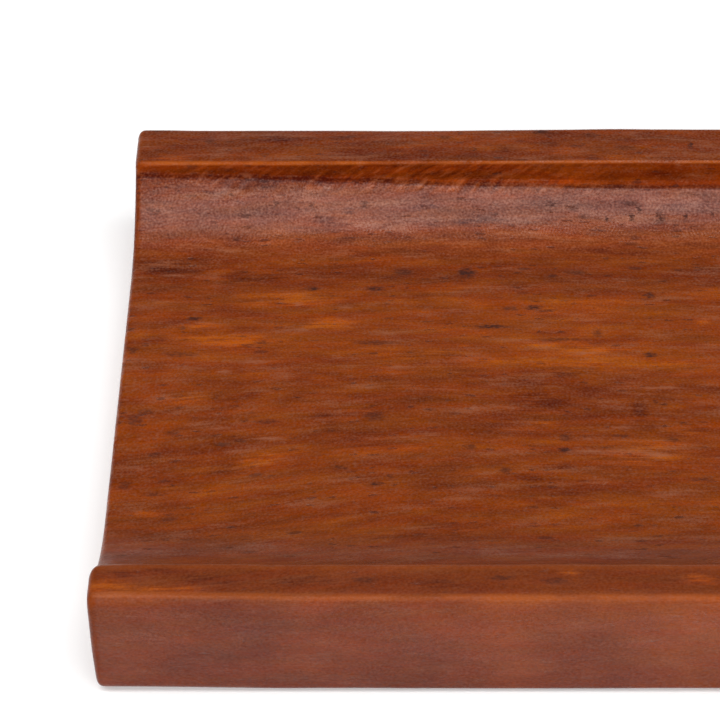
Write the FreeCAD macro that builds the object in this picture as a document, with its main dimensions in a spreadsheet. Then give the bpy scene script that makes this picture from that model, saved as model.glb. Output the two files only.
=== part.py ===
import FreeCAD, Part
import math
import os

import Sketcher
from FreeCAD import Vector

# A low pen tray of solid hardwood. One board carries an open channel along its whole
# length: an upright lip under each rim, a hollow cove below each lip, and a flat floor
# between the coves. Four felt pads sit in round seats in the underside.
#
# X runs along the channel, Y from the front rim to the back rim, and Z up. The origin
# is the middle of the footprint, on the surface that the tray stands on.

SIZES = {
    # the board
    "tray_length": 240.0,
    "tray_depth": 80.0,
    "board_height": 14.0,
    # the channel
    "front_rim_width": 5.4,
    "back_rim_width": 7.4,
    "floor_thickness": 6.8,
    "lip_height": 2.4,
    "cove_radius": 19.0,
    # the softened arrises
    "edge_radius": 0.7,
    "lip_edge_radius": 0.35,
    # the felt pads and their seats
    "pad_radius": 5.0,
    "pad_thickness": 1.5,
    "pad_edge_radius": 0.3,
    "seat_depth": 1.2,
    "seat_clearance": 0.25,
    "pad_inset_along": 14.0,
    "pad_inset_across": 12.0,
}

# Each pad's name, and the quarter of the underside that it sits in, as signs of X and Y.
PADS = {
    "pad_front_left": (-1, -1),
    "pad_front_right": (1, -1),
    "pad_back_left": (-1, 1),
    "pad_back_right": (1, 1),
}

PAD_X = "Sizes.tray_length / 2 - Sizes.pad_inset_along"
PAD_Y = "Sizes.tray_depth / 2 - Sizes.pad_inset_across"

TOLERANCE = 1e-6

# Sketcher's names for the places on a line or an arc, and for the sketch's own origin
START, END, CENTRE = 1, 2, 3
ORIGIN = (-1, 1)


def fill_sheet(document):
    """Put the driving sizes in a spreadsheet, each under its own name."""
    sheet = document.addObject("Spreadsheet::Sheet", "Sizes")
    for row, (name, value) in enumerate(SIZES.items(), start=1):
        sheet.set(f"A{row}", name)
        sheet.set(f"B{row}", str(value))
        sheet.setAlias(f"B{row}", name)
    document.recompute()
    return sheet


def origin_plane(body, role):
    """Find one of the body's own origin planes."""
    return next(plane for plane in body.Origin.OriginFeatures if plane.Role == role)


def new_sketch(body, name, role):
    """Start a sketch on one of the body's origin planes."""
    sketch = body.newObject("Sketcher::SketchObject", name)
    sketch.AttachmentSupport = [(origin_plane(body, role), "")]
    sketch.MapMode = "FlatFace"
    return sketch


def bind(sketch, name, expression, kind, *places):
    """Add a dimension to a sketch, and tie it to the sheet."""
    value = sketch.evalExpression(expression)
    index = sketch.addConstraint(Sketcher.Constraint(kind, *places, value))
    sketch.renameConstraint(index, name)
    sketch.setExpression(f"Constraints.{name}", expression)


def bind_point(sketch, name, geometry, place, along, across):
    """Fix a point of a sketch by its two distances from the sketch's origin.

    along and across are pairs of a sign and an expression for the distance.
    """
    for suffix, kind, (sign, expression) in (("x", "DistanceX", along), ("y", "DistanceY", across)):
        ends = (*ORIGIN, geometry, place) if sign > 0 else (geometry, place, *ORIGIN)
        bind(sketch, f"{name}_{suffix}", expression, kind, *ends)


def join_corners(sketch, corners):
    """Make each element of a sketch meet the next one at its end."""
    for first, second in corners:
        sketch.addConstraint(Sketcher.Constraint("Coincident", first, END, second, START))


def make_blank(body):
    """The board before it is milled: a plain block with its underside on the XY plane."""
    sketch = new_sketch(body, "BlankOutline", "XY_Plane")
    half_length = SIZES["tray_length"] / 2
    half_depth = SIZES["tray_depth"] / 2
    corners = [
        Vector(-half_length, -half_depth),
        Vector(half_length, -half_depth),
        Vector(half_length, half_depth),
        Vector(-half_length, half_depth),
    ]
    front, right, back, left = [
        sketch.addGeometry(Part.LineSegment(corners[i], corners[(i + 1) % 4]))
        for i in range(4)
    ]
    join_corners(sketch, [(front, right), (right, back), (back, left), (left, front)])
    for side in (front, back):
        sketch.addConstraint(Sketcher.Constraint("Horizontal", side))
    for side in (right, left):
        sketch.addConstraint(Sketcher.Constraint("Vertical", side))
    sketch.addConstraint(Sketcher.Constraint("Symmetric", front, START, right, END, *ORIGIN))
    bind(sketch, "length", "Sizes.tray_length", "DistanceX", front, START, front, END)
    bind(sketch, "depth", "Sizes.tray_depth", "DistanceY", right, START, right, END)

    blank = body.newObject("PartDesign::Pad", "Blank")
    blank.Profile = sketch
    blank.setExpression("Length", "Sizes.board_height")
    return blank


def draw_channel(body):
    """The channel's section, in the YZ plane, from the front lip round to the mouth."""
    sketch = new_sketch(body, "ChannelSection", "YZ_Plane")
    front = SIZES["front_rim_width"] - SIZES["tray_depth"] / 2
    back = SIZES["tray_depth"] / 2 - SIZES["back_rim_width"]
    top = SIZES["board_height"]
    floor = SIZES["floor_thickness"]
    radius = SIZES["cove_radius"]
    lip_foot = top - SIZES["lip_height"]
    cove_drop = lip_foot - floor
    cove_reach = math.sqrt(cove_drop * (2 * radius - cove_drop))
    cove_turn = math.asin(cove_reach / radius)
    down = math.radians(270)
    front_circle = Part.Circle(Vector(front + cove_reach, floor + radius), Vector(0, 0, 1), radius)
    back_circle = Part.Circle(Vector(back - cove_reach, floor + radius), Vector(0, 0, 1), radius)

    def line(start, end):
        return sketch.addGeometry(Part.LineSegment(Vector(*start), Vector(*end)))

    def arc(circle, start, end):
        return sketch.addGeometry(Part.ArcOfCircle(circle, start, end))

    front_lip = line((front, top), (front, lip_foot))
    front_cove = arc(front_circle, down - cove_turn, down)
    floor_line = line((front + cove_reach, floor), (back - cove_reach, floor))
    back_cove = arc(back_circle, down, down + cove_turn)
    back_lip = line((back, lip_foot), (back, top))
    mouth = line((back, top), (front, top))

    join_corners(sketch, [
        (front_lip, front_cove), (back_cove, back_lip), (back_lip, mouth), (mouth, front_lip),
    ])
    sketch.addConstraint(Sketcher.Constraint("Tangent", front_cove, END, floor_line, START))
    sketch.addConstraint(Sketcher.Constraint("Tangent", floor_line, END, back_cove, START))
    for upright in (front_lip, back_lip):
        sketch.addConstraint(Sketcher.Constraint("Vertical", upright))
    for level in (floor_line, mouth):
        sketch.addConstraint(Sketcher.Constraint("Horizontal", level))

    bind_point(sketch, "front_lip", front_lip, START,
               (-1, "Sizes.tray_depth / 2 - Sizes.front_rim_width"), (1, "Sizes.board_height"))
    bind(sketch, "back_lip", "Sizes.tray_depth / 2 - Sizes.back_rim_width",
         "DistanceX", *ORIGIN, back_lip, END)
    bind(sketch, "floor", "Sizes.floor_thickness", "DistanceY", *ORIGIN, floor_line, START)
    bind(sketch, "front_lip_height", "Sizes.lip_height", "DistanceY", front_lip, END, front_lip, START)
    bind(sketch, "back_lip_height", "Sizes.lip_height", "DistanceY", back_lip, START, back_lip, END)
    bind(sketch, "front_cove_radius", "Sizes.cove_radius", "Radius", front_cove)
    bind(sketch, "back_cove_radius", "Sizes.cove_radius", "Radius", back_cove)
    return sketch


def pocket(body, name, sketch):
    """Cut a sketch out of the body. Its depth and direction are set by the caller."""
    feature = body.newObject("PartDesign::Pocket", name)
    feature.Profile = sketch
    return feature


def mill_channel(body):
    """Cut the channel through the board from end to end."""
    channel = pocket(body, "Channel", draw_channel(body))
    channel.Type = "ThroughAll"
    channel.SideType = "Symmetric"
    return channel


def bore_pad_seats(body):
    """Sink a round seat for each pad in the underside."""
    sketch = new_sketch(body, "PadSeatCircles", "XY_Plane")
    for name, (side_x, side_y) in PADS.items():
        centre = Vector(side_x * sketch.evalExpression(PAD_X), side_y * sketch.evalExpression(PAD_Y))
        radius = SIZES["pad_radius"] + SIZES["seat_clearance"]
        circle = sketch.addGeometry(Part.Circle(centre, Vector(0, 0, 1), radius))
        bind(sketch, f"{name}_radius", "Sizes.pad_radius + Sizes.seat_clearance", "Radius", circle)
        bind_point(sketch, name, circle, CENTRE, (side_x, PAD_X), (side_y, PAD_Y))
    seats = pocket(body, "PadSeats", sketch)
    seats.setExpression("Length", "Sizes.seat_depth")
    seats.Reversed = True
    return seats


def edges_where(shape, wanted):
    """Names of the edges whose bounding box passes the test."""
    return [
        f"Edge{number}"
        for number, edge in enumerate(shape.Edges, start=1)
        if wanted(edge.BoundBox)
    ]


def near(value, target):
    return abs(value - target) < TOLERANCE


def is_lip_edge(box):
    """A long arris between a rim's top and its lip."""
    half_depth = SIZES["tray_depth"] / 2
    lips = (SIZES["front_rim_width"] - half_depth, half_depth - SIZES["back_rim_width"])
    at_lip = any(near(box.YMin, lip) and near(box.YMax, lip) for lip in lips)
    return at_lip and near(box.ZMin, SIZES["board_height"])


def is_outer_edge(box):
    """An edge of an end face, or a long arris of the front or back face."""
    half_length = SIZES["tray_length"] / 2
    half_depth = SIZES["tray_depth"] / 2
    on_end = near(box.XLength, 0) and near(abs(box.XMin), half_length)
    on_side = near(box.YLength, 0) and near(abs(box.YMin), half_depth)
    return on_end or on_side


def round_edges(body, name, base, wanted, radius):
    """Round the edges of the last feature that pass the test."""
    rounding = body.newObject("PartDesign::Fillet", name)
    rounding.Base = (base, edges_where(base.Shape, wanted))
    rounding.setExpression("Radius", radius)
    return rounding


def make_tray(document):
    """The tray: a block, milled, bored underneath and softened along its arrises."""
    body = document.addObject("PartDesign::Body", "Tray")
    body.Label = "tray"
    blank = make_blank(body)
    document.recompute()
    channel = mill_channel(body)
    document.recompute()
    outer_edges = round_edges(body, "OuterEdges", channel, is_outer_edge, "Sizes.edge_radius")
    document.recompute()
    lip_edges = round_edges(body, "LipEdges", outer_edges, is_lip_edge, "Sizes.lip_edge_radius")
    document.recompute()
    seats = bore_pad_seats(body)
    document.recompute()
    for before, after in ((blank, channel), (lip_edges, seats)):
        if after.Shape.Volume >= before.Shape.Volume:
            raise RuntimeError(f"{after.Name} cuts nothing")
    body.setExpression(".Placement.Base.z", "Sizes.pad_thickness - Sizes.seat_depth")
    return body


def make_pad(document, name, side_x, side_y):
    """A felt disc, rounded where its lower edge meets the desk."""
    body = document.addObject("PartDesign::Body", "Body_" + name)
    body.Label = name
    sketch = new_sketch(body, "Outline_" + name, "XY_Plane")
    circle = sketch.addGeometry(Part.Circle(Vector(), Vector(0, 0, 1), SIZES["pad_radius"]))
    sketch.addConstraint(Sketcher.Constraint("Coincident", circle, CENTRE, *ORIGIN))
    bind(sketch, "radius", "Sizes.pad_radius", "Radius", circle)
    disc = body.newObject("PartDesign::Pad", "Disc_" + name)
    disc.Profile = sketch
    disc.setExpression("Length", "Sizes.pad_thickness")
    document.recompute()
    round_edges(body, "LowerEdge_" + name, disc, lambda box: near(box.ZMax, 0), "Sizes.pad_edge_radius")
    body.setExpression(".Placement.Base.x", f"{side_x} * ({PAD_X})")
    body.setExpression(".Placement.Base.y", f"{side_y} * ({PAD_Y})")
    return body


def check(document, bodies):
    """Stop if any object failed to compute, or any piece isn't one valid solid."""
    for item in document.Objects:
        if "Invalid" in item.State or "Error" in item.State:
            raise RuntimeError(f"{item.Label} failed: {item.State}")
    for body in bodies:
        shape = body.Shape
        if shape.isNull() or not shape.isValid() or len(shape.Solids) != 1:
            raise RuntimeError(f"{body.Label} isn't one valid solid")


def main():
    document = FreeCAD.newDocument("PenTray")
    fill_sheet(document)
    bodies = [make_tray(document)]
    for name, (side_x, side_y) in PADS.items():
        bodies.append(make_pad(document, name, side_x, side_y))
    document.recompute()
    check(document, bodies)

    os.makedirs("parts", exist_ok=True)
    for body in bodies:
        body.Shape.exportStep(f"parts/{body.Label}.step")
        box = body.Shape.BoundBox
        print(f"{body.Label}: volume {body.Shape.Volume:.1f} mm3, "
              f"Z from {box.ZMin:.2f} to {box.ZMax:.2f} mm")


main()
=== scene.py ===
import math

import bmesh
import bpy
import numpy as np
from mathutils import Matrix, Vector


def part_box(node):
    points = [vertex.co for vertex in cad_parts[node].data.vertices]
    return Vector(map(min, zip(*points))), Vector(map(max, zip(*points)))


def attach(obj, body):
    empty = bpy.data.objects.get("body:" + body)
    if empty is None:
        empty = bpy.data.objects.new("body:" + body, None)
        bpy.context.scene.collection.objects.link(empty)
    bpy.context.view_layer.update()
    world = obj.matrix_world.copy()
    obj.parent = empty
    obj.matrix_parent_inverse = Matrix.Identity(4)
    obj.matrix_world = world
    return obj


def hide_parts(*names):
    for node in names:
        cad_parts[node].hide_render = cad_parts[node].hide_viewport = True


# A hardwood pen tray on four felt pads. The tray's mesh is built from its section, in
# millimetres, with the unevenness of a hand-sanded piece. Its wood is a solid
# procedural material, so the grain runs through from face to face.

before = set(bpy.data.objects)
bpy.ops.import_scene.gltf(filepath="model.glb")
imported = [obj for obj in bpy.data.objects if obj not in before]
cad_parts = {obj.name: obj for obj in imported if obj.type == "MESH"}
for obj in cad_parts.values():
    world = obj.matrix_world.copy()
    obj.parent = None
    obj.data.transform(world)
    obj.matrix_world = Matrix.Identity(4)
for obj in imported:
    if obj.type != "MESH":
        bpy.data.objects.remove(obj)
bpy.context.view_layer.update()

MM = 0.001


def box_mm(node):
    """A node's lowest and highest corners, in millimetres."""
    low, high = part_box(node)
    return np.array(low) / MM, np.array(high) / MM


TRAY_LOW, TRAY_HIGH = box_mm("tray")
LENGTH = TRAY_HIGH[0] - TRAY_LOW[0]
LEFT = TRAY_LOW[0]
FRONT, BACK = TRAY_LOW[1], TRAY_HIGH[1]
UNDERSIDE, TOP = TRAY_LOW[2], TRAY_HIGH[2]

# The section and the pads' seats, in millimetres
FRONT_RIM_WIDTH = 5.4
BACK_RIM_WIDTH = 7.4
FLOOR_THICKNESS = 6.8
LIP_HEIGHT = 2.4
COVE_RADIUS = 19.0
SEAT_RADIUS = 5.25
SEAT_DEPTH = 1.2

# The softened edges, in millimetres
EDGE_RADIUS = 0.7
FOOT_EDGE_RADIUS = 0.85
LIP_EDGE_RADIUS = 0.35
FRONT_LIP_EDGE_RADIUS = 0.9
FRONT_LIP_END_RADIUS = 1.35
CREASE_REACH = 0.22
END_TOP_RADIUS = 0.8
END_FOOT_RADIUS = 0.5

# How steeply the torn grain rises along the back lip
TORN_SLANT = math.radians(35)

FLOOR_LEVEL = UNDERSIDE + FLOOR_THICKNESS
FRONT_LIP = FRONT + FRONT_RIM_WIDTH
BACK_LIP = BACK - BACK_RIM_WIDTH
COVE_HEIGHT = TOP - LIP_HEIGHT - FLOOR_LEVEL
COVE_REACH = math.sqrt(COVE_HEIGHT * (2 * COVE_RADIUS - COVE_HEIGHT))
FRONT_COVE_FOOT = FRONT_LIP + COVE_REACH
BACK_COVE_FOOT = BACK_LIP - COVE_REACH

# The photograph's camera: level, looking down along +Y past the tray's left end. Its
# place, lens and sensor are in millimetres, and the picture's width and height in pixels.
CAMERA_PLACE = (LEFT + 27.76, FRONT - 167.8, TOP + 182.8)
PITCH_DOWN = math.radians(41.85)
LENS = 122.3
SENSOR = 36.0
PICTURE_SIZE = 720


# Noise for the mesh

# Large primes, which spread the cells of the noise over its list of values
SCRAMBLERS = np.array([73856093, 19349663, 83492791])


def smooth_noise(points, seed):
    """Value noise from -1 to 1 at points of shape (..., 3), the same in every run."""
    values = np.random.default_rng(seed).uniform(-1, 1, 4096)
    cell = np.floor(points).astype(np.int64)
    part = points - cell
    part = part * part * (3 - 2 * part)
    total = np.zeros(points.shape[:-1])
    for corner in np.ndindex(2, 2, 2):
        place = cell + corner
        scrambled = place * SCRAMBLERS
        index = scrambled[..., 0] ^ scrambled[..., 1] ^ scrambled[..., 2]
        share = np.prod(np.where(corner, part, 1 - part), axis=-1)
        total += values[index % len(values)] * share
    return total


def layered_noise(points, seed, layers=2):
    """Smooth noise with finer layers, each half as large and half as strong."""
    total = sum(smooth_noise(points * 2**i, seed + i) / 2**i for i in range(layers))
    return total / sum(1 / 2**i for i in range(layers))


def smooth_step(value, low, high):
    t = np.clip((value - low) / (high - low), 0, 1)
    return t * t * (3 - 2 * t)


def along(x, wavelength, seed):
    """Noise that varies only along the tray, from -1 to 1."""
    points = np.stack([x / wavelength, np.full_like(x, 0.5), np.full_like(x, 0.5)], axis=-1)
    return layered_noise(points, seed)


# The tray's skin

def station_places():
    """X of each cross-section: close together at the rounded ends and in the left third."""
    near_end = [0.0, 0.02, 0.08, 0.18, 0.32, 0.5, 0.7, 0.95, 1.2, 1.5, 1.8, 2.15]
    step = 0.44
    half = LENGTH / 2
    fine_end = -half + 88
    left = [-half + d for d in near_end]
    fine = np.arange(left[-1] + step, fine_end, step)
    coarse = np.linspace(fine_end + 0.6, half - near_end[-1] - 0.5, 235)
    right = [half - d for d in reversed(near_end)]
    return np.concatenate([left, fine, coarse, right])


def rounding_inset(distance, radius):
    """How far a face is drawn in, at a distance from an end edge of this radius."""
    reach = np.clip(radius - distance, 0, radius)
    return radius - np.sqrt(radius**2 - reach**2)


class Ring:
    """Collects the points of one closed section for every station at once."""

    def __init__(self, count):
        self.count = count
        self.ys, self.zs, self.kinds = [], [], []

    def add(self, y, z, kind):
        shape = (self.count, len(kind))
        self.ys.append(np.broadcast_to(y, shape))
        self.zs.append(np.broadcast_to(z, shape))
        self.kinds.extend(kind)

    def line(self, start, end, points, kind):
        t = np.linspace(0, 1, points, endpoint=False)
        y = start[0][:, None] * (1 - t) + end[0][:, None] * t
        z = start[1][:, None] * (1 - t) + end[1][:, None] * t
        self.add(y, z, [kind] * points)

    def arc(self, centre, radius, start, end, points, kind):
        t = np.linspace(0, 1, points, endpoint=False)
        angle = start[:, None] * (1 - t) + end[:, None] * t
        y = centre[0][:, None] + radius[:, None] * np.cos(angle)
        z = centre[1][:, None] + radius[:, None] * np.sin(angle)
        self.add(y, z, [kind] * points)

    def bend(self, start, corner, end, points, kind):
        t = np.linspace(0, 1, points, endpoint=False)
        y, z = (
            start[i][:, None] * (1 - t) ** 2
            + 2 * corner[i][:, None] * t * (1 - t)
            + end[i][:, None] * t**2
            for i in (0, 1)
        )
        self.add(y, z, [kind] * points)


def lip_heights(x, from_end):
    """Heights of the front and back lips: lower at the ends, where the cutter ran out."""
    run_out = 1 - smooth_step(from_end, 0, 24)
    front = LIP_HEIGHT + 0.15 * along(x, 34, 11) - 0.8 * run_out
    climb = smooth_step(from_end, -12, 66)
    settle = smooth_step(from_end, 70, 118)
    ragged_left = 1 - smooth_step(x, LEFT + 45, LEFT + 60)
    ragged = 0.14 * along(x, 17, 12) + 0.42 * along(x, 2.4, 13) * ragged_left
    back = LIP_HEIGHT - 1.2 + 2.1 * climb - 0.8 * settle + ragged
    return front, back


def back_lip_drift(x):
    """How far the back lip lies behind its nominal place: the more, the further right."""
    first = 0.24 * smooth_step(x, LEFT + 14, LEFT + 40)
    second = 0.14 * smooth_step(x, LEFT + 38, LEFT + 56)
    return first + second


def back_rim_fall(x):
    """How far the back rim falls toward the back, most of all at the left."""
    after_end = smooth_step(x, LEFT - 1, LEFT + 8)
    return 0.22 * after_end * (1 - smooth_step(x, LEFT + 36, LEFT + 58))


def tray_section(x):
    """Y and Z of the section at every station, and what each point of it belongs to."""
    from_end = LENGTH / 2 - np.abs(x)
    count = len(x)
    inset = rounding_inset(from_end, END_TOP_RADIUS)
    foot_inset = rounding_inset(from_end, END_FOOT_RADIUS)
    worn = 0.2 * (1 - smooth_step(from_end, 0, 5)) * (0.75 + 0.25 * along(x, 4, 21))
    top = TOP - inset - worn
    front = FRONT + inset
    back = BACK - inset
    foot = UNDERSIDE + foot_inset
    floor = FLOOR_LEVEL - inset
    front_lip = FRONT_LIP - rounding_inset(from_end, FRONT_LIP_END_RADIUS)
    back_lip = BACK_LIP + inset + back_lip_drift(x)
    worn_left = 1 - smooth_step(x, LEFT + 2, LEFT + 22)
    edge = EDGE_RADIUS * (1.1 + 0.2 * along(x, 13, 31) + 0.55 * worn_left)
    back_edge = EDGE_RADIUS * (1.1 + 0.25 * along(x, 11, 32))
    back_top = top - back_rim_fall(x)
    foot_edge = FOOT_EDGE_RADIUS * (0.9 + 0.15 * along(x, 17, 33) + 0.5 * worn_left)
    lip_edge = FRONT_LIP_EDGE_RADIUS * (1.0 + 0.2 * along(x, 7, 34))
    near_end = 1 - smooth_step(from_end, 0.2, 2.4)
    back_lip_edge = LIP_EDGE_RADIUS * (1.0 + 0.35 * along(x, 6, 35) + 1.3 * near_end)
    front_height, back_height = lip_heights(x, from_end)

    def angle(degrees):
        return np.full(count, math.radians(degrees))

    def cove(nominal_lip, lip, height, side):
        """A cove's centre, radius, foot of the lip, and angle where the lip's bend ends."""
        drop = TOP - height - FLOOR_LEVEL
        reach = np.sqrt(drop * (2 * COVE_RADIUS - drop))
        centre = (nominal_lip + side * reach, np.full(count, FLOOR_LEVEL + COVE_RADIUS))
        radius = COVE_RADIUS + inset
        across = np.abs(centre[0] - lip)
        turn = np.arcsin(across / radius)
        lip_foot = centre[1] - radius * np.cos(turn)
        bend_turn = turn - CREASE_REACH / radius
        bend_end = (
            centre[0] - side * radius * np.sin(bend_turn),
            centre[1] - radius * np.cos(bend_turn),
        )
        return centre, radius, lip_foot, bend_turn, bend_end

    f_centre, f_radius, f_foot, f_turn, f_bend = cove(FRONT_LIP, front_lip, front_height, 1)
    b_centre, b_radius, b_foot, b_turn, b_bend = cove(BACK_LIP, back_lip, back_height, -1)
    down = angle(270)

    ring = Ring(count)
    ring.line((front, foot + foot_edge), (front, top - edge), 10, "front")
    ring.arc((front + edge, top - edge), edge, angle(180), angle(90), 7, "edge")
    ring.line((front + edge, top), (front_lip - lip_edge, top), 6, "rim")
    ring.arc((front_lip - lip_edge, top - lip_edge), lip_edge, angle(90), angle(0), 5, "lip_edge")
    ring.line((front_lip, top - lip_edge), (front_lip, f_foot + CREASE_REACH), 5, "lip")
    ring.bend((front_lip, f_foot + CREASE_REACH), (front_lip, f_foot), f_bend, 3, "crease")
    ring.arc(f_centre, f_radius, down - f_turn, down, 24, "cove")
    ring.line((f_centre[0], floor), (b_centre[0], floor), 34, "floor")
    ring.arc(b_centre, b_radius, down, down + b_turn, 42, "cove")
    ring.bend(b_bend, (back_lip, b_foot), (back_lip, b_foot + CREASE_REACH), 3, "crease")
    ring.line((back_lip, b_foot + CREASE_REACH), (back_lip, top - back_lip_edge), 8, "lip")
    rim_start = back_lip + back_lip_edge
    rim_end = back - back_edge
    rim_middle = (rim_start + rim_end) / 2
    back_lip_centre = (rim_start, top - back_lip_edge)
    ring.arc(back_lip_centre, back_lip_edge, angle(180), angle(90), 5, "lip_edge")
    ring.bend((rim_start, top), (rim_middle, top), (rim_end, back_top), 9, "rim")
    ring.arc((rim_end, back_top - back_edge), back_edge, angle(90), angle(0), 7, "edge")
    ring.line((back, back_top - back_edge), (back, foot + foot_edge), 8, "back")
    ring.arc((back - foot_edge, foot + foot_edge), foot_edge, angle(0), angle(-90), 5, "edge")
    ring.line((back - foot_edge, foot), (front + foot_edge, foot), 8, "under")
    ring.arc((front + foot_edge, foot + foot_edge), foot_edge, angle(-90), angle(-180), 5, "edge")
    return np.concatenate(ring.ys, axis=1), np.concatenate(ring.zs, axis=1), np.array(ring.kinds)


def outward_normals(points):
    """Unit normals of a grid of points: stations by ring places, the ring closed."""
    around = np.roll(points, -1, axis=1) - np.roll(points, 1, axis=1)
    forward = np.gradient(points, axis=0)
    normal = np.cross(around, forward)
    return normal / np.maximum(np.linalg.norm(normal, axis=-1, keepdims=True), 1e-9)


def tear_out(points):
    """Shallow slanting facets, where the cutter tore the grain under the back lip."""
    x, y, z = points[..., 0], points[..., 1], points[..., 2]
    cosine, sine = math.cos(TORN_SLANT), math.sin(TORN_SLANT)
    across = -sine * x + cosine * z
    lengthwise = cosine * x + sine * z
    facets = smooth_noise(np.stack([lengthwise / 2.6, across / 0.55, y / 3], axis=-1), 41)
    patches = smooth_noise(np.stack([x / 9, np.zeros_like(x), np.full_like(x, 0.3)], axis=-1), 42)
    by_lip = smooth_step(y, BACK_LIP - 3.6, BACK_LIP - 0.4)
    below_rim = 1 - smooth_step(z, TOP - 0.7, TOP - 0.3)
    return -0.2 * np.clip(facets, 0, 1) * smooth_step(patches, -0.35, 0.35) * by_lip * below_rim


def unevenness(points, kinds):
    """How far each point of the tray's surface lies outside its nominal place."""
    broad = layered_noise(points / (24, 9, 9), 51)
    fine = layered_noise(points / (5.5, 2.2, 2.2), 52)
    swell = -0.045 * (1 + broad) - 0.012 * (1 + fine)
    under = (kinds == "under")[None, :]
    hand_work = np.isin(kinds, ("cove", "crease", "lip"))[None, :]
    cove_ripple = 0.03 * layered_noise(points / (7, 1.1, 1.1), 53) * hand_work
    return swell * np.where(under, 0.2, 1) + cove_ripple + tear_out(points) * hand_work


def grid_mesh(name, points):
    """A closed mesh from stations of closed rings, capped at both ends."""
    stations, places = points.shape[:2]
    mesh = bmesh.new()
    verts = [mesh.verts.new(p) for p in points.reshape(-1, 3) * MM]
    for s in range(stations - 1):
        for p in range(places):
            q = (p + 1) % places
            a, b = s * places, (s + 1) * places
            mesh.faces.new((verts[a + p], verts[a + q], verts[b + q], verts[b + p]))
    mesh.faces.new(verts[:places][::-1])
    mesh.faces.new(verts[-places:])
    bmesh.ops.recalc_face_normals(mesh, faces=mesh.faces)
    data = bpy.data.meshes.new(name)
    mesh.to_mesh(data)
    mesh.free()
    data.polygons.foreach_set("use_smooth", [True] * len(data.polygons))
    piece = bpy.data.objects.new(name, data)
    bpy.context.collection.objects.link(piece)
    return piece


def tray_points():
    """All the points of the tray's skin, as stations by ring places."""
    x = station_places()
    y, z, kinds = tray_section(x)
    points = np.stack([np.broadcast_to(x[:, None], y.shape), y, z], axis=-1)
    from_end = (LENGTH / 2 - np.abs(x))[:, None]
    offset = unevenness(points, kinds) * smooth_step(from_end, -0.2, 1.2)
    points = points + outward_normals(points) * offset[..., None]
    # the ends are cut back a little toward the underside
    undercut = 0.16 * smooth_step(TOP - z, 7.5, 14) * (1 - smooth_step(from_end, 0, 6))
    points[..., 0] -= np.sign(points[..., 0]) * undercut
    return np.clip(points, TRAY_LOW, TRAY_HIGH)


PADS = ("pad_front_left", "pad_front_right", "pad_back_left", "pad_back_right")


def pad_centre(node):
    low, high = box_mm(node)
    return (low + high) / 2


def cut_pad_seats(tray):
    """Sink the round seats of the pads in the underside."""
    below = 2.0
    for pad in PADS:
        x, y, _ = pad_centre(pad)
        middle = UNDERSIDE + (SEAT_DEPTH - below) / 2
        bpy.ops.mesh.primitive_cylinder_add(
            vertices=96,
            radius=SEAT_RADIUS * MM,
            depth=(SEAT_DEPTH + below) * MM,
            location=Vector((x, y, middle)) * MM,
        )
        cutter = bpy.context.object
        cut = tray.modifiers.new("seat", "BOOLEAN")
        cut.object = cutter
        cut.solver = "EXACT"
        evaluated = tray.evaluated_get(bpy.context.evaluated_depsgraph_get())
        whole = tray.data
        tray_with_seat = bpy.data.meshes.new_from_object(evaluated)
        tray.modifiers.clear()
        tray.data = tray_with_seat
        bpy.data.meshes.remove(whole)
        bpy.data.objects.remove(cutter)


# The marks seen in the photograph

# Levels of marks that lie between the floor and the rims, in millimetres
LOW_COVE_LEVEL = FLOOR_LEVEL + 1.1
COVE_LEVEL = FLOOR_LEVEL + 3.1
LIP_LEVEL = TOP - 1.3

# How deep a spot goes, in millimetres
SPOT_DEPTH = 1.5

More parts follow.
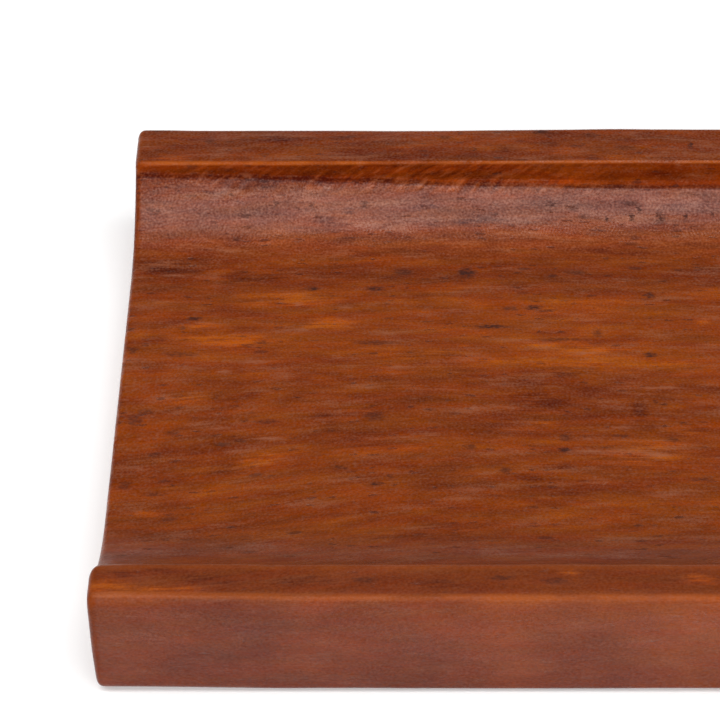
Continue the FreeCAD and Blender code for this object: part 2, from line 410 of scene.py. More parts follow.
# Spots read off the photograph, some of them then adjusted, at about the level
# where each lies: column and row of the middle, half width and half height, in pixels
DARK_PORES = {
    TOP: (
        (540, 132, 9, 2.4), (690, 145, 2.5, 4.8), (474, 149, 3, 2),
    ),
    COVE_LEVEL: (
        (633, 209, 3.5, 3.5), (661, 209, 5, 5), (640, 204, 2.5, 4), (687, 208, 3, 2.5),
        (714, 207, 2, 2.5), (608, 210, 3, 2), (552, 201, 8, 2),
    ),
    FLOOR_LEVEL: (
        (312, 289, 9, 2.6), (375, 289, 12, 3), (467, 273, 11, 6.5), (492, 327, 19, 2.4),
        (375, 484, 10, 2.6), (533, 308, 9, 3.2), (650, 355, 8, 3.6), (655, 402, 2.2, 2.4),
        (195, 319, 10, 2.6), (565, 450, 8, 3), (650, 296, 5, 4),
    ),
}
FAINT_PORES = {
    TOP: (
        (340, 138, 14, 2.9), (210, 141, 7, 2.4), (575, 146, 10, 2), (590, 135, 10, 3),
        (445, 137, 10, 2.5), (625, 148, 14, 2.9), (555, 581, 16, 3.6), (500, 578, 16, 3.2),
        (365, 580, 14, 3.6),
    ),
    LIP_LEVEL: (
        (154, 172, 9, 2.4), (192, 171, 9, 2.4), (211, 172, 4, 1.5),
    ),
    COVE_LEVEL: (
        (574, 203, 6, 2), (214, 215, 5, 1.5), (246, 211, 6, 1.8), (298, 206, 2, 1.5),
        (155, 199, 10.5, 1.3), (150, 208, 7.3, 1.5), (158, 209, 2.4, 2.5), (166, 196, 3.2, 1.5),
        (495, 207.5, 4, 1.5), (585, 208, 5, 2), (312, 204, 4, 3), (365, 203, 5, 3),
        (276, 203, 3, 3), (636, 223, 6, 2), (236, 226, 5, 2.4),
    ),
    FLOOR_LEVEL: (
        (403, 272, 10, 4), (375, 343, 24, 2.5), (262, 343, 10, 2), (248, 346, 7, 2.2),
        (180, 355, 24, 3.2), (182, 328, 6, 2), (133, 351, 6, 4), (510, 309, 10, 3),
        (548, 311, 12, 1.8), (597, 333, 6, 5), (575, 273, 14, 3), (553, 276, 6, 2.5),
        (135, 421, 10, 8), (146, 412, 12, 3.5), (265, 422, 16, 3), (244, 421, 6, 2.4),
        (375, 416, 12, 6), (222, 445, 11, 2.4), (240, 441, 7, 2), (172, 433, 9, 3),
        (340, 468, 9, 3), (390, 477, 5, 3), (155, 455, 9, 3), (165, 482, 9, 2.5),
        (155, 495, 14, 3), (125, 486, 7, 5), (430, 410, 6, 2.5), (565, 438, 7, 4),
        (470, 447, 8, 4), (625, 436, 5, 3), (672, 440, 8, 3), (505, 470, 6, 4),
        (700, 480, 16, 3), (560, 340, 30, 2.2),
    ),
}
DARK_PATCHES = {
    TOP: (
        (545, 144, 19.3, 3.9), (502, 149, 12, 4.4), (275, 138, 22.5, 4.3), (600, 155, 21, 2.4),
        (215, 580, 35, 5.8), (304.5, 581, 37, 6.5), (439, 584, 33.5, 5), (121, 574.5, 25.5, 3.6),
        (158, 570, 15.7, 2.9),
    ),
    # along the foot of the back lip: dark marks, partly painted shade in the crease
    LIP_LEVEL: (
        (175, 178, 14.6, 1.5), (210, 181, 21, 1.7), (235, 185, 13, 1.5),
    ),
    COVE_LEVEL: (
        (348, 207, 9.7, 3.5), (600, 218, 14, 3.1), (370, 236, 21.4, 3.6),
    ),
    LOW_COVE_LEVEL: (
        (330, 226, 17.8, 3.6), (345, 238, 15.5, 4.6), (470, 226, 17.8, 3.6),
    ),
    FLOOR_LEVEL: (
        (250, 276, 40, 8), (540, 403, 34, 14), (225, 470, 22, 8), (560, 467, 30, 4),
        (530, 478, 18, 5), (640, 410, 10, 14), (378, 510, 28, 4), (325, 420, 18, 8),
        (430, 356, 45, 5), (155, 338, 14, 6), (560, 372, 45, 6), (170, 270, 60, 14),
    ),
}
ORANGE_PATCHES = {
    TOP: (
        (170, 157, 30, 4), (400, 150, 17.8, 5), (550, 150, 30, 4), (640, 157, 40.5, 3.4),
        (107, 587.5, 31.5, 9.4), (170, 589.5, 44.4, 4.4), (570, 572, 13.7, 3.6),
        (700, 580, 21, 8),
    ),
    COVE_LEVEL: (
        (313.5, 194.5, 10.5, 2.5),
    ),
    FLOOR_LEVEL: (
        (225, 340, 50, 8), (200, 326, 30, 4), (455, 346, 16, 3), (545, 345, 20, 3),
        (600, 350, 38, 5), (702, 322, 9, 4), (290, 300, 60, 8), (640, 455, 60, 14),
        (540, 425, 22, 8), (690, 430, 36, 6), (260, 460, 36, 10), (190, 398, 36, 7),
        (360, 410, 22, 5), (145, 515, 16, 4), (330, 325, 30, 8),
    ),
}
# Pale flecks, partly a painted sheen
PALE_DASHES = {
    LIP_LEVEL: (
        (246, 172, 7.3, 1.5), (281, 169, 4, 2.4), (299, 169, 2, 3), (361, 170.5, 2, 4.4),
        (389, 169.5, 3.2, 1.5), (462, 169.5, 3.2, 1.5), (478.5, 169.5, 2.4, 1.5),
        (677.5, 169.5, 3.2, 1.5), (629, 171.5, 15.4, 1.2),
    ),
    COVE_LEVEL: (
        (327, 194.5, 3.2, 1.7),
    ),
    FLOOR_LEVEL: (
        (175, 276, 16, 1.6), (298, 305, 5, 3.5), (345, 307, 8, 3), (405, 295, 1.6, 1.8),
        (524, 358, 5, 1.6), (586, 353, 22, 1.6), (605, 484, 2.4, 2.4), (593, 452, 14, 2.4),
        (474, 408, 5, 2.2), (432, 434, 9, 2.4), (665, 419, 7, 1.8), (662, 388, 26, 1.6),
        (324, 423, 2, 2.2), (250, 362, 22, 2.6), (225, 372, 8, 2), (300, 330, 14, 2),
        (400, 368, 14, 2), (216, 414, 5, 1.6), (270, 439, 18, 2), (218, 428, 14, 2),
        (660, 455, 14, 3),
    ),
}


def spot_on_tray(level, column, row, half_width, half_height):
    """A spot of the photograph laid on a level of the tray: x, y and its reach along both."""
    focal = PICTURE_SIZE * LENS / SENSOR
    right = (column - PICTURE_SIZE / 2) / focal
    below_middle = math.atan((row - PICTURE_SIZE / 2) / focal)
    drop = CAMERA_PLACE[2] - level
    ahead = drop / math.tan(PITCH_DOWN + below_middle)
    depth = ahead * math.cos(PITCH_DOWN) + drop * math.sin(PITCH_DOWN)
    pixels_along = focal / depth
    foreshortening = math.sin(PITCH_DOWN + below_middle) / math.cos(below_middle)
    return (
        CAMERA_PLACE[0] + right * depth,
        CAMERA_PLACE[1] + ahead,
        half_width / pixels_along,
        half_height / (pixels_along * foreshortening),
    )


def spots_on_tray(seen):
    return [spot_on_tray(level, *spot) for level, spots in seen.items() for spot in spots]


def surface_level(y):
    """Height of the upper surface at this Y, on the nominal section."""
    if not FRONT_LIP < y < BACK_LIP:
        return TOP
    up_cove = max(0.0, FRONT_COVE_FOOT - y, y - BACK_COVE_FOOT)
    return FLOOR_LEVEL + COVE_RADIUS - math.sqrt(COVE_RADIUS**2 - up_cove**2)


# Materials

class Graph:
    """Adds and links the nodes of one material. Lengths are in millimetres."""

    def __init__(self, name):
        self.material = bpy.data.materials.new(name)
        self.material.use_nodes = True
        self.nodes = self.material.node_tree.nodes
        self.links = self.material.node_tree.links
        self.shader = self.nodes["Principled BSDF"]
        self.shifts = np.random.default_rng(len(name)).uniform(-50, 50, (200, 3))
        self.used_shifts = 0

    def feed(self, socket, value):
        """Link an output to the socket, or set the socket's own value."""
        if isinstance(value, bpy.types.NodeSocket):
            self.links.new(value, socket)
        else:
            socket.default_value = value

    def surface(self, values):
        """Feed the shader's inputs, by their names."""
        for name, value in values.items():
            self.feed(self.shader.inputs[name], value)

    def relief(self, height, strength=1.0):
        """Bump the surface by a height in millimetres."""
        inputs = {"Height": height, "Distance": MM, "Strength": strength}
        self.surface({"Normal": self.add("Bump", inputs)})

    def add(self, kind, inputs, output=0, **settings):
        node = self.nodes.new("ShaderNode" + kind)
        for name, value in settings.items():
            setattr(node, name, value)
        for socket, value in inputs.items():
            self.feed(node.inputs[socket], value)
        return node.outputs[output]

    def place(self):
        """The point on the object, in millimetres."""
        coordinates = self.nodes.new("ShaderNodeTexCoord")
        return self.vector("SCALE", coordinates.outputs["Object"], Scale=1 / MM)

    def vector(self, operation, *values, **named):
        inputs = dict(enumerate(values)) | named
        return self.add("VectorMath", inputs, operation=operation)

    def dot(self, place, direction):
        inputs = {0: place, 1: direction}
        return self.add("VectorMath", inputs, output=1, operation="DOT_PRODUCT")

    def length(self, place):
        return self.add("VectorMath", {0: place}, output=1, operation="LENGTH")

    def math(self, operation, *values, clamp=False):
        return self.add("Math", dict(enumerate(values)), operation=operation, use_clamp=clamp)

    def fold(self, operation, values):
        """Combine the values one after another."""
        result, *others = values
        for value in others:
            result = self.math(operation, result, value)
        return result

    def total(self, *values):
        return self.fold("ADD", values)

    def product(self, *values):
        return self.fold("MULTIPLY", values)

    def largest(self, *values):
        return self.fold("MAXIMUM", values)

    def join(self, x=0.0, y=0.0, z=0.0):
        return self.add("CombineXYZ", {"X": x, "Y": y, "Z": z})

    def split(self, place):
        node = self.nodes.new("ShaderNodeSeparateXYZ")
        self.links.new(place, node.inputs[0])
        return node.outputs

    def in_cells(self, place, size):
        """The place counted in cells of this size, shifted differently at each call."""
        shift = self.shifts[self.used_shifts]
        self.used_shifts += 1
        return self.vector("MULTIPLY_ADD", place, [1 / s for s in size], list(shift))

    def noise(self, place, size, detail=1.0, roughness=0.5):
        """Noise about 0.5."""
        inputs = {
            "Vector": self.in_cells(place, size),
            "Scale": 1.0,
            "Detail": detail,
            "Roughness": roughness,
        }
        return self.add("TexNoise", inputs)

    def around_zero(self, noise, strength):
        """Noise about 0.5, made noise about 0 and scaled."""
        return self.math("MULTIPLY_ADD", noise, strength, -0.5 * strength)

    def ease(self, value, low, high, start=0.0, end=1.0):
        """Go smoothly from start to end as the value goes from low to high."""
        inputs = {"Value": value, 1: low, 2: high, 3: start, 4: end}
        return self.add("MapRange", inputs, interpolation_type="SMOOTHSTEP")

    def ramp(self, value, stops):
        node = self.nodes.new("ShaderNodeValToRGB")
        self.links.new(value, node.inputs["Fac"])
        elements = node.color_ramp.elements
        while len(elements) < len(stops):
            elements.new(0.5)
        for element, (position, colour) in zip(elements, stops):
            element.position = position
            element.color = colour
        return node.outputs["Color"]

    def mix(self, share, first, second, blend="MIX"):
        inputs = {0: share, 6: first, 7: second}
        return self.add("Mix", inputs, output=2, data_type="RGBA", blend_type=blend)

    def near(self, place, seen):
        """1 inside any of the spots seen, oval and soft-edged, and 0 well outside them."""
        distances = []
        for x, y, reach_x, reach_y in spots_on_tray(seen):
            centre = (x, y, surface_level(y))
            reach = (reach_x, reach_y, SPOT_DEPTH)
            scale = [1 / r for r in reach]
            shift = [-c / r for c, r in zip(centre, reach)]
            distances.append(self.length(self.vector("MULTIPLY_ADD", place, scale, shift)))
        return self.ease(self.fold("MINIMUM", distances), 0.3, 1.2, 1.0, 0.0)

    def band(self, value, centre, half_width, strength):
        """The strength at the centre, easing to 0 at the half width on either side."""
        offset = self.math("ABSOLUTE", self.math("SUBTRACT", value, centre))
        return self.ease(offset, half_width * 0.3, half_width, strength, 0.0)

    def near_line(self, place, centre, inner, outer):
        """1 within the inner distance of a line along X, and 0 beyond the outer distance."""
        offset = self.vector("MULTIPLY_ADD", place, (0, 1, 1), (0, -centre[0], -centre[1]))
        return self.ease(self.length(offset), inner, outer, 1.0, 0.0)

    def pores(self, place, size, radius, share):
        """Long open pores: 1 inside a pore, of varied depth, in this share of the cells."""
        cells = self.nodes.new("ShaderNodeTexVoronoi")
        self.feed(cells.inputs["Vector"], self.in_cells(place, size))
        self.feed(cells.inputs["Scale"], 1.0)
        inside = self.ease(cells.outputs["Distance"], radius * 0.45, radius, 1.0, 0.0)
        lot = self.split(cells.outputs["Color"])[0]
        depth = self.ease(lot, 1 - share, 1.0)
        return self.product(inside, depth)


# Soft stripes along the board: Y of the middle, half width in millimetres, and strength
STRIPES = (
    (-18.0, 8.0, 0.05),
    (-9.0, 2.6, 0.03),
    (-0.5, 2.8, -0.06),
    (9.0, 8.5, 0.03),
)

# The wood's colours from dark to light, then those of what lies on it or in it, and of painted
# light
WOOD_COLOURS = (
    (0.10, (0.050, 0.0050, 0.0012, 1)),
    (0.32, (0.106, 0.0158, 0.0014, 1)),
    (0.50, (0.158, 0.0268, 0.0018, 1)),
    (0.68, (0.220, 0.0400, 0.0018, 1)),
    (0.90, (0.340, 0.0700, 0.0020, 1)),
)
REDDER = (1.02, 0.88, 0.95, 1)
YELLOWER = (0.99, 1.06, 1.05, 1)
# painted light: the back lip's wall redder, as in the orange floor's bounce light
BACK_LIP_PAINTED_LIGHT_TINT = (1.02, 0.86, 0.85, 1)
# pale wax, partly a painted sheen
WAX_AND_PAINTED_SHEEN_COLOUR = (0.230, 0.0780, 0.0370, 1)
PORE_COLOUR = (0.030, 0.0135, 0.0125, 1)
# pale flecks and the torn grain's edges, partly painted sheen and highlight
PALE_AND_HIGHLIT_COLOUR = (0.250, 0.0800, 0.0360, 1)
# worn arrises, partly a painted highlight
WORN_AND_HIGHLIT_COLOUR = (0.290, 0.0610, 0.0060, 1)

# The length of the ripples that the cutter left, in millimetres
RIPPLE_LENGTH = 0.42


class Wood(Graph):
    """Oiled hardwood: one solid pattern through the whole board, built layer by layer.

    Each new noise takes the next shift, so the order of the noises counts.
    """

    def __init__(self):
        super().__init__("wood")
        self.point = self.place()
        self.x, self.y, self.z = self.split(self.point)
        self.from_end = self.math("SUBTRACT", LENGTH / 2, self.math("ABSOLUTE", self.x))
        self.grain = self.grain_place()
        self.add_noises()
        self.add_zones()
        self.add_marks()
        self.add_torn_grain()
        self.add_wax_and_painted_sheen()
        self.add_pores()
        # the arrises: worn, and in part a painted highlight
        self.worn = self.worn_and_highlit_arrises()

    def grain_place(self):
        """The point in the straightened grain: X along it, with its slow bends taken out."""
        slow = self.around_zero(self.noise(self.point, (90, 28, 28)), 4.5)
        quick = self.around_zero(self.noise(self.point, (19, 7, 7)), 0.6)
        # the grain rises to the right near the front left corner
        rise = self.ease(self.x, LEFT - 2, LEFT + 42, 5.0, 0.0)
        toward_front = self.ease(self.y, BACK_COVE_FOOT - 5, FRONT_COVE_FOOT - 3)
        bent_y = self.total(self.y, slow, quick, self.product(rise, toward_front))
        sink = self.around_zero(self.noise(self.point, (60, 30, 30)), 6.0)
        return self.join(self.x, bent_y, self.total(self.z, sink))

    def add_noises(self):
        """The patterns of the wood and of its wax, each with its cells' size in millimetres."""
        self.bands = self.noise(self.grain, (140, 10, 10), detail=1.5)
        self.mottle = self.noise(self.point, (18, 12, 12), detail=3.0, roughness=0.6)
        self.streaks = self.noise(self.grain, (15, 2.3, 2.3), detail=1.5)
        self.fibres = self.noise(self.grain, (3.8, 1.0, 1.0), detail=1.5)
        self.hairlines = self.noise(self.grain, (6, 0.24, 0.24), detail=1.0)
        self.specks = self.noise(self.point, (0.28, 0.24, 0.24), detail=1.0)
        self.hues = self.noise(self.grain, (8, 1.2, 1.2), detail=2.0)
        self.wax_dashes = self.noise(self.grain, (7.5, 1.5, 1.5), detail=2.0)
        self.wax_flecks = self.noise(self.grain, (1.9, 0.36, 0.36), detail=1.0)
        self.wax_grains = self.noise(self.grain, (0.28, 0.23, 0.23), detail=0.0)

    def add_zones(self):
        """Where on the tray the point lies: each zone is 1 inside, and eases to 0 outside."""
        y, z = self.y, self.z
        off_end_face = self.ease(self.from_end, 0.05, 0.45)
        self.on_top = self.product(self.ease(z, TOP - 1.3, TOP - 0.6), off_end_face)
        self.above_cove = self.product(self.ease(z, TOP - 4.6, TOP - 3.6), off_end_face)
        self.on_front = self.ease(y, FRONT + 1.5, FRONT + 0.1)
        self.on_front_rim = self.product(self.ease(y, FRONT_LIP + 0.7, FRONT_LIP), self.on_top)
        self.on_back_rim = self.product(
            self.ease(y, BACK_LIP + 0.3, BACK_LIP + 0.7),
            self.on_top,
        )
        before_back_rim = self.ease(y, BACK_LIP + 0.3, BACK_LIP + 0.6, 1.0, 0.0)
        self.on_back_lip = self.product(
            self.ease(y, BACK_LIP - 0.3, BACK_LIP),
            before_back_rim,
            self.above_cove,
        )
        self.by_back_lip = self.product(
            self.ease(y, BACK_LIP - 0.7, BACK_LIP - 0.3),
            before_back_rim,
            self.above_cove,
            self.ease(z, TOP - 0.5, TOP - 0.15, 1.0, 0.65),
        )
        self.in_back_cove = self.product(
            self.ease(y, BACK_COVE_FOOT + 1, BACK_COVE_FOOT + 6),
            self.ease(y, BACK_LIP - 0.6, BACK_LIP, 1.0, 0.0),
            off_end_face,
        )
        self.at_end = self.ease(self.from_end, 0.3, 1.3, 1.0, 0.0)
        self.in_front_run_out = self.product(
            self.ease(self.from_end, 1.0, 6.0, 1.0, 0.0),
            self.band(y, FRONT_LIP + 3.1, 5.0, 1.0),
        )
        lip_edge = (FRONT_LIP, TOP - FRONT_LIP_EDGE_RADIUS)
        self.on_front_lip_edge = self.near_line(self.point, lip_edge, 0.6, 1.1)
        # the front is smoother than the rest
        self.detail = self.product(
            self.ease(y, FRONT_COVE_FOOT, FRONT + 3, 1.0, 0.36),
            self.ease(y, FRONT + 1.4, FRONT + 0.2, 1.0, 0.5),
        )
        self.mottled = self.total(
            self.on_front,
            self.product(self.on_front_rim, 0.5),
            self.product(self.on_back_rim, 0.5),
        )

    def add_marks(self):
        """The marks seen in the photograph, with ragged outlines."""
        cells = self.in_cells(self.point, (0.7, 0.3, 0.3))
        wobble = self.add("TexNoise", {"Vector": cells, "Scale": 1.0}, output=1)
        self.wobble = self.vector("MULTIPLY_ADD", wobble, (1.6, 0.6, 0.6), (-0.8, -0.3, -0.3))
        ragged = self.vector("ADD", self.point, self.wobble)
        crumbs = self.noise(self.point, (0.5, 0.22, 0.22), detail=1.0)
        patchy = self.ease(crumbs, 0.34, 0.6, 0.45, 1.0)
        self.dark_pores = self.product(self.near(ragged, DARK_PORES), patchy)
        self.faint_pores = self.product(self.near(ragged, FAINT_PORES), patchy)
        # the fibres break the patches up into streaks
        lines = self.total(
            self.around_zero(self.fibres, 1.2),
            self.around_zero(self.hairlines, 1.0),
            0.5,
        )
        self.in_pale_lines = self.ease(lines, 0.2, 0.7, 0.3, 1.2)
        in_dark_lines = self.ease(lines, 0.3, 0.8, 1.2, 0.3)
        self.dark_patches = self.product(self.near(ragged, DARK_PATCHES), in_dark_lines)
        self.orange_patches = self.product(self.near(ragged, ORANGE_PATCHES), self.in_pale_lines)
        self.pale_dashes = self.product(self.near(ragged, PALE_DASHES), self.in_pale_lines)

    def add_torn_grain(self):
        """The grain torn out along the foot of the back lip, in slanting strokes."""
        cosine, sine = math.cos(TORN_SLANT), math.sin(TORN_SLANT)
        lengthwise = self.dot(self.point, (cosine, 0, sine))
        across = self.dot(self.point, (-sine, 0, cosine))
        strokes = self.join(lengthwise, across, 0.0)
        self.torn = self.noise(strokes, (2.6, 0.6, 1.0), detail=2.0)
        patches = self.largest(
            self.ease(self.noise(self.point, (11, 30, 30)), 0.35, 0.6, 0.0, 0.7),
            self.band(self.x, LEFT + 36, 20.0, 1.0),
        )
        self.torn_here = self.product(
            self.ease(self.y, BACK_LIP - 1.9, BACK_LIP - 0.7),
            self.ease(self.y, BACK_LIP + 0.4, BACK_LIP + 0.6, 1.0, 0.0),
            patches,
        )
        # the lit edges of the strokes: a real sheen, and a painted highlight in the colour
        self.torn_edge_highlights = self.product(
            self.ease(self.torn, 0.56, 0.70, 0.0, 0.55),
            self.torn_here,
        )

    def add_wax_and_painted_sheen(self):
        """Uneven wax in dashes, flecks and grains: its sheen, and its pale colour, partly painted
        sheen.
        """
        dash = self.product(self.ease(self.wax_dashes, 0.50, 0.72), self.in_pale_lines)
        fleck = self.ease(self.wax_flecks, 0.56, 0.74)
        self.uneven_sheen = self.total(
            self.around_zero(self.wax_dashes, 0.44),
            self.product(dash, 0.13),
            self.product(fleck, 0.19),
            self.around_zero(self.wax_grains, 1.1),
        )
        uneven_wax_and_painted_sheen = self.total(
            self.product(dash, 0.68),
            self.product(fleck, 0.36),
            self.around_zero(self.wax_grains, 1.35),
        )
        # the wax's pale colour, partly a painted sheen, stronger on the rims
        wax_and_painted_sheen = self.total(
            self.product(uneven_wax_and_painted_sheen, self.detail),
            self.product(self.on_back_rim, 0.10),
            self.product(self.on_front_rim, 0.20),
            -0.08,
        )
        self.wax_and_painted_sheen = self.math("MULTIPLY", wax_and_painted_sheen, 0.5, clamp=True)

    def add_pores(self):
        """The pores seen in the photograph, and others by chance."""
        ragged_grain = self.vector("ADD", self.grain, self.wobble)
        fine = self.pores(ragged_grain, (2.2, 0.55, 0.55), 0.36, 0.40)
        large = self.pores(self.grain, (4.5, 1.5, 1.5), 0.28, 0.22)
        self.chance_pores = self.product(self.largest(fine, large), 0.62)
        fading = self.ease(self.y, FRONT_COVE_FOOT - 4, FRONT + 4, 1.0, 0.25)
        self.pore_depth = self.largest(
            self.product(self.chance_pores, fading),
            self.dark_pores,
            self.product(self.faint_pores, 0.65),
        )

    def worn_and_highlit_arrises(self):
        """1 along the arrises, where hands and sanding wore the finish off; in part a painted
        highlight.
        """
        x, y, z = self.x, self.y, self.z
        # the worn, painted-highlit band lies further back at the left end of the front
        worn_back = self.product(
            self.ease(x, LEFT, LEFT + 26, 0.38, 0.0),
            self.ease(y, FRONT + 3, FRONT + 2),
        )
        # the back lip drifts back to the right
        drift = self.product(
            self.ease(x, LEFT + 38, LEFT + 56, 0.0, 0.14),
            self.ease(y, BACK_LIP - 1.6, BACK_LIP - 0.6),
        )
        straight_y = self.math("SUBTRACT", self.math("SUBTRACT", y, worn_back), drift)
        place = self.join(x, straight_y, z)
        # the front edges: wear and a painted highlight; the back lip's edge: wear
        worn = (
            self.product(self.near_line(place, (FRONT + 0.45, TOP), 0.15, 0.6), 0.55),
            self.product(self.near_line(place, (FRONT_LIP - 0.5, TOP), 0.25, 1.1), 0.28),
            self.product(self.near_line(place, (BACK_LIP + 0.12, TOP), 0.15, 0.5), 0.9),
        )
        # the rims' end arrises: wear and a painted highlight
        end = self.product(
            self.ease(self.from_end, 0.03, 0.2),
            self.ease(self.from_end, 0.35, 0.9, 1.0, 0.0),
            self.ease(z, TOP - 2.0, TOP - 1.0, 0.0, 0.25),
        )
        unevenly = self.ease(self.noise(place, (5, 2, 2), detail=2.0), 0.35, 0.6, 0.45, 1.0)
        return self.product(self.largest(*worn, end), unevenly)

    def stripes(self):
        """Soft stripes along the board, and what the tone gains on some faces, partly painted
        light.
        """
        x, y, z = self.x, self.y, self.z
        along_board = [self.band(y, *stripe) for stripe in STRIPES]
        return self.total(
            *along_board,
            self.ease(x, LEFT + 15, LEFT + 60, -0.012, 0.03),
            self.ease(y, FRONT_COVE_FOOT - 1, FRONT + 4, 0.0, -0.11),
            self.ease(y, BACK_COVE_FOOT - 5, BACK_COVE_FOOT - 1.5, 0.0, -0.12),
            # a painted highlight along the front lip's inner edge
            self.product(self.band(y, FRONT_LIP + 0.2, 1.1, 0.05), self.on_top),
            self.product(self.on_front, -0.045),
            self.product(self.on_front, self.ease(x, LEFT + 40, LEFT + 65, 0.0, 0.03)),
            self.product(self.on_front, self.ease(z, TOP - 4.0, TOP - 0.9, 0.0, 0.05)),
            self.product(self.ease(y, BACK_LIP + 0.8, BACK - 1.5, 0.145, 0.075), self.on_back_rim),
            # painted light: the back lip's wall lighter, as lit from the front
            self.product(self.on_back_lip, 0.17),
            # painted shade and dirt in the crease at the foot of the back lip
            self.product(self.band(y, BACK_LIP - 0.35, 0.45, -0.14), self.above_cove),
            self.product(self.in_back_cove, 0.09),
        )

    def tone(self):
        """The place on the scale of wood colours."""
        fine_tone = self.total(
            self.around_zero(self.streaks, 0.52),
            self.around_zero(self.fibres, 0.38),
            self.around_zero(self.hairlines, 0.22),
        )
        darker = self.ease(self.on_front_rim, 0.0, 1.0, -0.14, -0.16)
        lighter = self.ease(self.on_front_rim, 0.0, 1.0, 0.165, 0.27)
        return self.total(
            self.around_zero(self.bands, 0.52),
            self.product(fine_tone, self.detail),
            self.around_zero(self.specks, 0.30),
            self.product(self.around_zero(self.mottle, 0.6), self.mottled),
            self.product(self.around_zero(self.torn, 0.95), self.torn_here),
            self.product(self.dark_patches, darker),
            self.product(self.orange_patches, lighter),
            # painted sheen: the back cove lighter where its sheen is stronger
            self.product(self.uneven_sheen, self.in_back_cove, 0.3),
            self.stripes(),
            0.515,
        )

    def colour(self):
        colour = self.ramp(self.tone(), WOOD_COLOURS)
        hue = self.mix(self.ease(self.hues, 0.3, 0.7), REDDER, YELLOWER)
        colour = self.mix(1.0, colour, hue, blend="MULTIPLY")
        # painted light: the back lip's wall redder, as in the orange floor's bounce light
        colour = self.mix(self.on_back_lip, colour, BACK_LIP_PAINTED_LIGHT_TINT, blend="MULTIPLY")
        # pale wax, partly a painted sheen
        colour = self.mix(self.wax_and_painted_sheen, colour, WAX_AND_PAINTED_SHEEN_COLOUR)
        colour = self.mix(self.product(self.pore_depth, 0.85), colour, PORE_COLOUR)
        # pale flecks and torn edges, partly painted sheen and highlights
        pale_and_highlit = self.largest(self.pale_dashes, self.torn_edge_highlights)
        colour = self.mix(self.product(pale_and_highlit, 0.45), colour, PALE_AND_HIGHLIT_COLOUR)
        # the worn arrises, partly a painted highlight
        return self.mix(self.worn, colour, WORN_AND_HIGHLIT_COLOUR)

    def sheen(self):
        """How strongly the surface mirrors the lights, from 0 to 1."""
        calmer = self.product(
            self.ease(self.y, FRONT_COVE_FOOT + 4, FRONT + 9, 1.0, 0.35),
            self.ease(self.in_back_cove, 0.0, 1.0, 1.0, 0.5),
        )
        sheen = self.total(
            self.product(self.uneven_sheen, calmer),
            self.product(self.pale_dashes, 0.3),
            self.product(self.in_back_cove, 0.09),
            self.product(self.torn_edge_highlights, 0.5),
            self.product(self.on_front, self.ease(self.z, TOP - 5.0, TOP - 0.9, -0.025, -0.085)),
            0.325,
        )
        # what dulls the surface, and the share of the sheen that it leaves
        dullings = (
            (self.worn, 0.9),
            (self.pore_depth, 0.2),
            (self.by_back_lip, 0.1),
            (self.at_end, 0.4),
            (self.in_front_run_out, 0.35),
            (self.on_front_lip_edge, 0.25),
        )
        for dulling, share_left in dullings:
            left = self.ease(dulling, 0.0, 1.0, 1.0, share_left)
            sheen = self.math("MULTIPLY", sheen, left, clamp=True)
        return sheen

    def roughness(self):
        front_arris = self.near_line(self.point, (FRONT, TOP), 0.9, 1.5)
        return self.total(
            self.ease(self.wax_dashes, 0.25, 0.75, 0.32, 0.24),
            self.product(front_arris, 0.22),
        )

    def height(self):
        """The fine relief of fibres, pores, torn grain and the cutter's ripples."""
        unsteady = self.around_zero(self.noise(self.point, (3, 2.5, 2.5)), 1.6)
        turns = self.product(self.total(self.x, unsteady), 2 * math.pi / RIPPLE_LENGTH)
        return self.total(
            self.around_zero(self.fibres, 0.018),
            self.around_zero(self.specks, 0.016),
            self.product(self.around_zero(self.torn, 0.11), self.torn_here),
            self.product(self.chance_pores, -0.035),
            self.product(self.math("SINE", turns), self.in_back_cove, 0.007),
        )


def wood_material():
    wood = Wood()
    # the plain value, for programs that can't follow the graph
    wood.surface({"Specular IOR Level": 0.38})
    wood.surface({
        "Base Color": wood.colour(),
        "Specular IOR Level": wood.sheen(),
        "Roughness": wood.roughness(),
        "IOR": 1.42,
    })
    wood.relief(wood.height())
    return wood.material


def felt_material():
    """Dark pressed wool."""
    felt = Graph("felt")
    place = felt.place()
    fibres = felt.noise(place, (0.35, 0.35, 0.35), detail=4.0, roughness=0.65)
    clumps = felt.noise(place, (2.2, 2.2, 2.2), detail=2.0)
    tone = felt.total(felt.around_zero(fibres, 1.0), felt.around_zero(clumps, 0.5), 0.5)
    colour = felt.ramp(tone, (
        (0.15, (0.012, 0.008, 0.006, 1)),
        (0.50, (0.027, 0.018, 0.013, 1)),
        (0.85, (0.070, 0.050, 0.038, 1)),
    ))
    felt.surface({"Base Color": colour, "Roughness": 0.95, "Sheen Weight": 0.35})
    felt.relief(felt.around_zero(fibres, 0.25), strength=0.8)
    return felt.material


def floor_material():
    """Studio white, lit a little from below as on a light table."""
    white = Graph("studio_white")
    mottle = white.noise(white.place(), (120, 120, 120), detail=2.0)
    colour = white.ramp(mottle, (
        (0.0, (0.86, 0.86, 0.86, 1)),
        (1.0, (0.88, 0.88, 0.88, 1)),
    ))
    white.surface({
        "Base Color": colour,
        "Roughness": 0.8,
        "Specular IOR Level": 0.2,
        "Emission Color": (1, 1, 1, 1),
        "Emission Strength": 0.15,
    })
    return white.material


# Pieces

def make_tray():
    tray = grid_mesh("tray_wood", tray_points())
    cut_pad_seats(tray)
    # the rims of the seats are crisp
    tray.data.set_sharp_from_angle(angle=math.radians(60))
    tray.data.materials.append(wood_material())
    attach(tray, "root")
    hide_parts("tray")


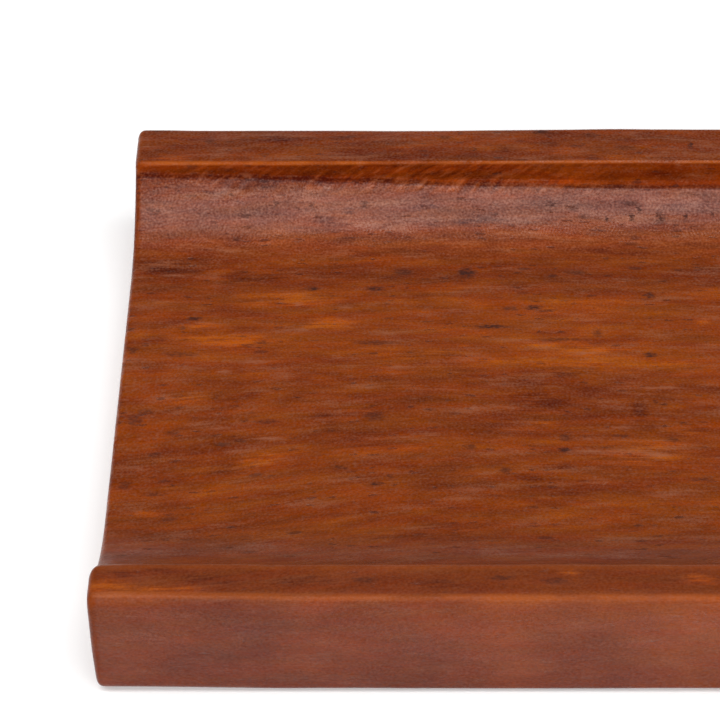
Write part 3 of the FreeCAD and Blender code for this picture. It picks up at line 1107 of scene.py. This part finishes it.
def felt_disc(node, material, seed):
    """A felt disc: rounded below, with the fuzz and slight dents of pressed wool."""
    low, high = box_mm(node)
    x, y, _ = pad_centre(node)
    bottom, top = low[2], high[2]
    radius = (high[0] - low[0]) / 2
    corner = 0.32
    hole = 0.25
    segments = 120
    # the half-section: from the middle of the sole, round its edge, to the middle of the top
    sole = [(r, bottom) for r in np.linspace(hole, radius - corner, 16)]
    turn = np.radians(np.linspace(-90, 0, 6)[1:-1])
    bend = [
        (radius - corner + corner * math.cos(a), bottom + corner + corner * math.sin(a))
        for a in turn
    ]
    side = [(radius, z) for z in np.linspace(bottom + corner, top, 6)]
    cap = [(r, top) for r in np.linspace(radius - 0.3, hole, 8)]
    section = np.array(sole + bend + side + cap)
    angle = np.linspace(0, 2 * math.pi, segments, endpoint=False)
    points = np.stack([
        x + section[:, None, 0] * np.cos(angle),
        y + section[:, None, 0] * np.sin(angle),
        np.broadcast_to(section[:, None, 1], (len(section), segments)),
    ], axis=-1)
    below_top = 1 - smooth_step(points[..., 2], top - 0.35, top)
    fuzz = layered_noise(points / 0.4, seed, layers=3)
    dents = smooth_noise(points / 2.6, seed + 9)
    inward = (0.045 * (1 + fuzz) + 0.03 * (1 + dents)) * below_top
    points = points - outward_normals(points) * inward[..., None]
    disc = grid_mesh(node + "_felt", np.clip(points, low, high))
    disc.data.materials.append(material)
    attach(disc, "root")
    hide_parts(node)


def make_pads():
    material = felt_material()
    for number, node in enumerate(PADS):
        felt_disc(node, material, 70 + 20 * number)


def make_floor():
    bpy.ops.mesh.primitive_circle_add(vertices=128, radius=4.0, fill_type="NGON")
    floor = bpy.context.object
    floor.name = "studio_floor"
    floor.data.materials.append(floor_material())


# Studio

def area_light(name, centre, target, size, radiance):
    """A soft rectangular light. Places and sizes are in millimetres."""
    light = bpy.data.lights.new(name, "AREA")
    light.shape = "RECTANGLE"
    light.size, light.size_y = size[0] * MM, size[1] * MM
    light.energy = radiance * math.pi * light.size * light.size_y
    holder = bpy.data.objects.new(name, light)
    bpy.context.collection.objects.link(holder)
    holder.location = Vector(centre) * MM
    direction = Vector(target) - Vector(centre)
    holder.rotation_euler = direction.to_track_quat("-Z", "Y").to_euler()
    holder.visible_camera = False


def make_world():
    """A pale horizon under a dimmer ceiling."""
    world = bpy.data.worlds.new("studio")
    bpy.context.scene.world = world
    world.use_nodes = True
    nodes, links = world.node_tree.nodes, world.node_tree.links
    direction = nodes.new("ShaderNodeTexCoord")
    parts = nodes.new("ShaderNodeSeparateXYZ")
    level = nodes.new("ShaderNodeMapRange")
    level.interpolation_type = "SMOOTHSTEP"
    level.inputs["From Min"].default_value = math.sin(math.radians(8))
    level.inputs["From Max"].default_value = math.sin(math.radians(36))
    level.inputs["To Min"].default_value = 0.60
    level.inputs["To Max"].default_value = 0.23
    links.new(direction.outputs["Generated"], parts.inputs[0])
    links.new(parts.outputs["Z"], level.inputs["Value"])
    links.new(level.outputs[0], nodes["Background"].inputs["Color"])


def panel(name, from_angle, to_angle, radiance):
    """A long softbox above the tray between two angles ahead of the vertical, in degrees."""
    distance = 1250
    length = 2800
    middle = math.radians((from_angle + to_angle) / 2)
    half_angle = math.radians((to_angle - from_angle) / 2)
    centre = (0, -distance * math.sin(middle), distance * math.cos(middle))
    width = 2 * distance * math.tan(half_angle)
    area_light(name, centre, (0, 0, 0), (length, width), radiance)


def make_lights():
    panel("overhead", -11, 25, 2.86)
    panel("front", 50, 75, 3.3)


def make_camera():
    camera = bpy.data.cameras.new("camera")
    camera.lens = LENS
    camera.sensor_width = SENSOR
    camera.clip_start = 0.01
    holder = bpy.data.objects.new("camera", camera)
    bpy.context.collection.objects.link(holder)
    holder.location = Vector(CAMERA_PLACE) * MM
    holder.rotation_euler = (math.radians(90) - PITCH_DOWN, 0, 0)
    bpy.context.scene.camera = holder


make_camera()
make_floor()
make_world()
make_lights()
make_tray()
make_pads()
bpy.context.scene.view_settings.view_transform = "Standard"
